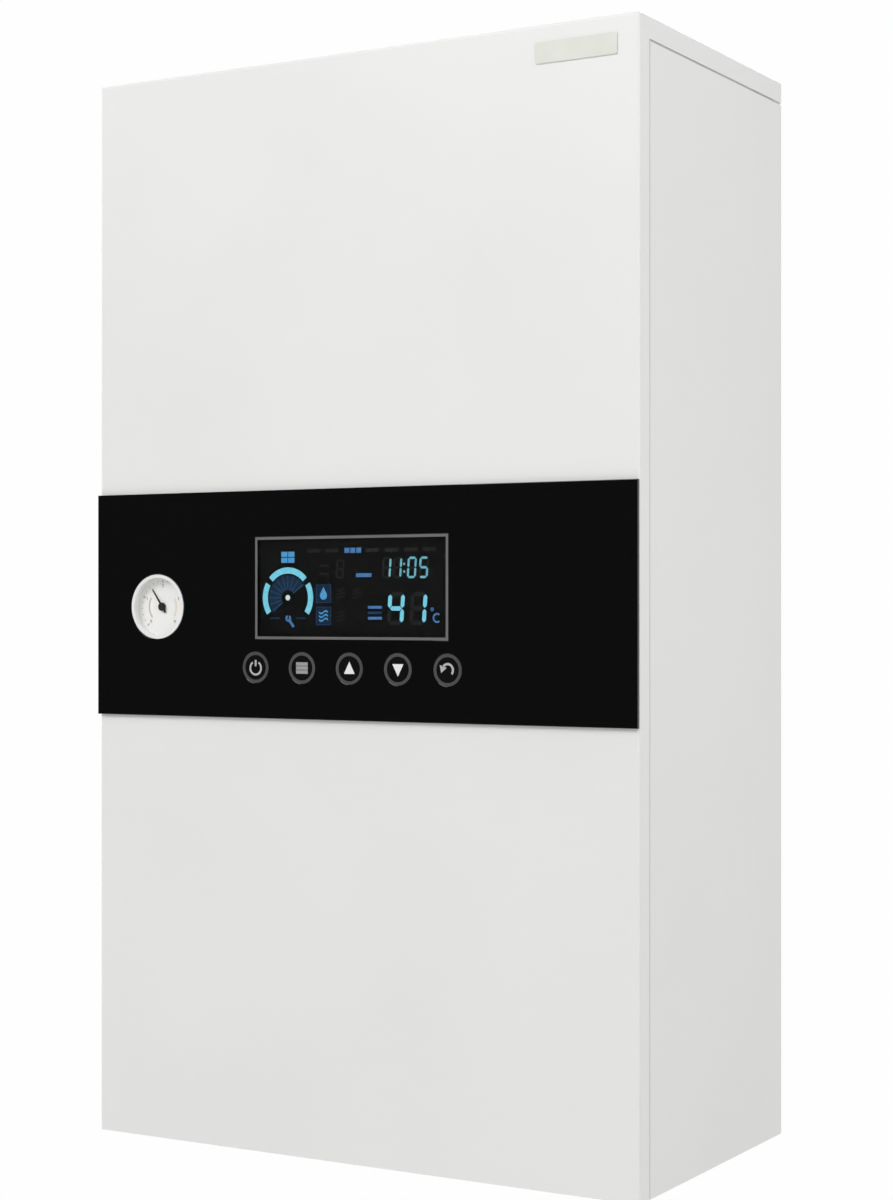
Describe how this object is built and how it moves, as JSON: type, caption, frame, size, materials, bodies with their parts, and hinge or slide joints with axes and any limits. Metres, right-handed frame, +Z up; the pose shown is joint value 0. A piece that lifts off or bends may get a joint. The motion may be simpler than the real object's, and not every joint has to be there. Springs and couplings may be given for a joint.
{
  "type": "electric combi boiler",
  "caption": "Wall-hung electric combi boiler with a black glass control band, round pressure gauge, pull-off front cover and a full heating and tap water circuit inside.",
  "frame": {"origin": "midway between the two wall bolt holes of the bracket, on the wall plane", "axes": "+X to the right of someone facing the boiler, +Y into the wall, +Z up"},
  "size_m": [0.44, 0.2432, 0.79],
  "materials": {
    "white_enamel": "satin white powder coat",
    "zinc_sheet": "galvanised sheet",
    "black_glass": "black backed glass, polished",
    "dark_plastic": "moulded black plastic",
    "grey_ring": "grey satin",
    "key_gloss": "polished black",
    "display": "dark display",
    "circuit_board": "green solder resist",
    "gauge_white": "white plastic",
    "gauge_black": "matt black",
    "clear_lens": "clear",
    "copper": "drawn copper",
    "brass": "turned and nickel free",
    "stainless": "welded stainless",
    "dark_steel": "blackened screws",
    "rubber_black": "matt",
    "red_enamel": "red paint",
    "red_plastic": "red",
    "blue_plastic": "blue",
    "braid": "stainless braid",
    "cast_iron": "cast and painted",
    "grey_plastic": "grey",
    "ivory_plastic": "ivory"
  },
  "bodies": {
    "chassis": {"wall_bracket": "zinc_sheet", "back_panel": "zinc_sheet", "side_panel_left": "white_enamel", "side_panel_right": "white_enamel", "bottom_panel": "zinc_sheet", "top_rail": "zinc_sheet", "gauge_case": "gauge_white", "gauge_dial": "gauge_white", "gauge_lens": "clear_lens", "gauge_bracket": "zinc_sheet", "gauge_capillary": "copper", "tank": "stainless", "flange_gasket": "rubber_black", "heater_bundle": "stainless", "flange_bolts": "dark_steel", "air_vent_body": "brass", "expansion_vessel": "red_enamel", "vessel_hose": "braid", "flow_pipe": "copper", "diverter_valve": "brass", "diverter_motor": "dark_plastic", "plate_heat_exchanger": "stainless", "return_group": "brass", "pump_housing": "cast_iron", "pump_motor": "red_enamel", "union_nuts": "brass", "safety_valve": "brass", "discharge_pipe": "copper", "filling_group": "brass", "flow_sensor": "dark_plastic", "cold_pipe": "copper", "hot_pipe": "copper", "control_tray": "zinc_sheet", "main_board": "circuit_board", "contactor": "dark_plastic", "terminal_block": "ivory_plastic", "safety_thermostat": "dark_plastic", "cable_glands": "grey_plastic", "wiring": "rubber_black"},
    "cover": {"front_cover": "white_enamel", "control_glass": "black_glass", "display_housing": "dark_plastic", "lcd_module": "display", "display_board": "circuit_board", "key_bezels": "grey_ring"},
    "screws": {"cover_screws": "dark_steel"},
    "power_key": {"power_key": "key_gloss"},
    "menu_key": {"menu_key": "key_gloss"},
    "up_key": {"up_key": "key_gloss"},
    "down_key": {"down_key": "key_gloss"},
    "back_key": {"back_key": "key_gloss"},
    "pointer": {"gauge_pointer": "gauge_black"},
    "vent_cap": {"air_vent_cap": "dark_plastic"},
    "diverter_spindle": {"diverter_spindle": "stainless"},
    "pump_rotor": {"pump_rotor": "stainless"},
    "safety_knob": {"safety_valve_knob": "red_plastic"},
    "filling_knob": {"filling_valve_knob": "blue_plastic"},
    "drain_knob": {"drain_knob": "dark_plastic"},
    "contactor_slider": {"contactor_slider": "gauge_white"},
    "reset_button": {"reset_button": "red_plastic"}
  },
  "joints": [
    {"name": "cover_pull", "type": "slide", "parent": "chassis", "child": "cover", "axis": [0, -1, 0], "range_m": [0, 0.3]},
    {"name": "screws_loosen", "type": "slide", "parent": "chassis", "child": "screws", "axis": [0, 0, -1], "range_m": [0, 0.002]},
    {"name": "power_key_press", "type": "slide", "parent": "cover", "child": "power_key", "axis": [0, 1, 0], "range_m": [0, 0.0008], "stiffness_N_per_m": 800, "springref_m": -0.001},
    {"name": "menu_key_press", "type": "slide", "parent": "cover", "child": "menu_key", "axis": [0, 1, 0], "range_m": [0, 0.0008], "stiffness_N_per_m": 800, "springref_m": -0.001},
    {"name": "up_key_press", "type": "slide", "parent": "cover", "child": "up_key", "axis": [0, 1, 0], "range_m": [0, 0.0008], "stiffness_N_per_m": 800, "springref_m": -0.001},
    {"name": "down_key_press", "type": "slide", "parent": "cover", "child": "down_key", "axis": [0, 1, 0], "range_m": [0, 0.0008], "stiffness_N_per_m": 800, "springref_m": -0.001},
    {"name": "back_key_press", "type": "slide", "parent": "cover", "child": "back_key", "axis": [0, 1, 0], "range_m": [0, 0.0008], "stiffness_N_per_m": 800, "springref_m": -0.001},
    {"name": "gauge_needle", "type": "hinge", "parent": "chassis", "child": "pointer", "pos_m": [-0.1653, -0.236, -0.339], "axis": [0, 1, 0], "range_deg": [-100, 170], "stiffness_Nm_per_rad": 0.002},
    {"name": "vent_cap_turn", "type": "hinge", "parent": "chassis", "child": "vent_cap", "pos_m": [0.02, -0.13, -0.03], "axis": [0, 0, 1], "range_deg": [0, 360]},
    {"name": "diverter_shift", "type": "slide", "parent": "chassis", "child": "diverter_spindle", "axis": [0, 1, 0], "range_m": [0, 0.006]},
    {"name": "pump_spin", "type": "hinge", "parent": "chassis", "child": "pump_rotor", "pos_m": [0.105, -0.19, -0.5], "axis": [0, 1, 0], "continuous": true},
    {"name": "safety_knob_turn", "type": "hinge", "parent": "chassis", "child": "safety_knob", "pos_m": [0.15, -0.165, -0.61], "axis": [0, 1, 0], "range_deg": [0, 90]},
    {"name": "filling_knob_turn", "type": "hinge", "parent": "chassis", "child": "filling_knob", "pos_m": [0.0675, -0.13, -0.735], "axis": [0, 0, 1], "range_deg": [0, 90]},
    {"name": "drain_knob_turn", "type": "hinge", "parent": "chassis", "child": "drain_knob", "pos_m": [0.105, -0.16, -0.685], "axis": [0, 1, 0], "range_deg": [0, 180]},
    {"name": "contactor_pull_in", "type": "slide", "parent": "chassis", "child": "contactor_slider", "axis": [0, 1, 0], "range_m": [0, 0.004], "stiffness_N_per_m": 500, "springref_m": -0.002},
    {"name": "reset_press", "type": "slide", "parent": "chassis", "child": "reset_button", "axis": [0, 1, 0], "range_m": [0, 0.002], "stiffness_N_per_m": 700, "springref_m": -0.002}
  ]
}
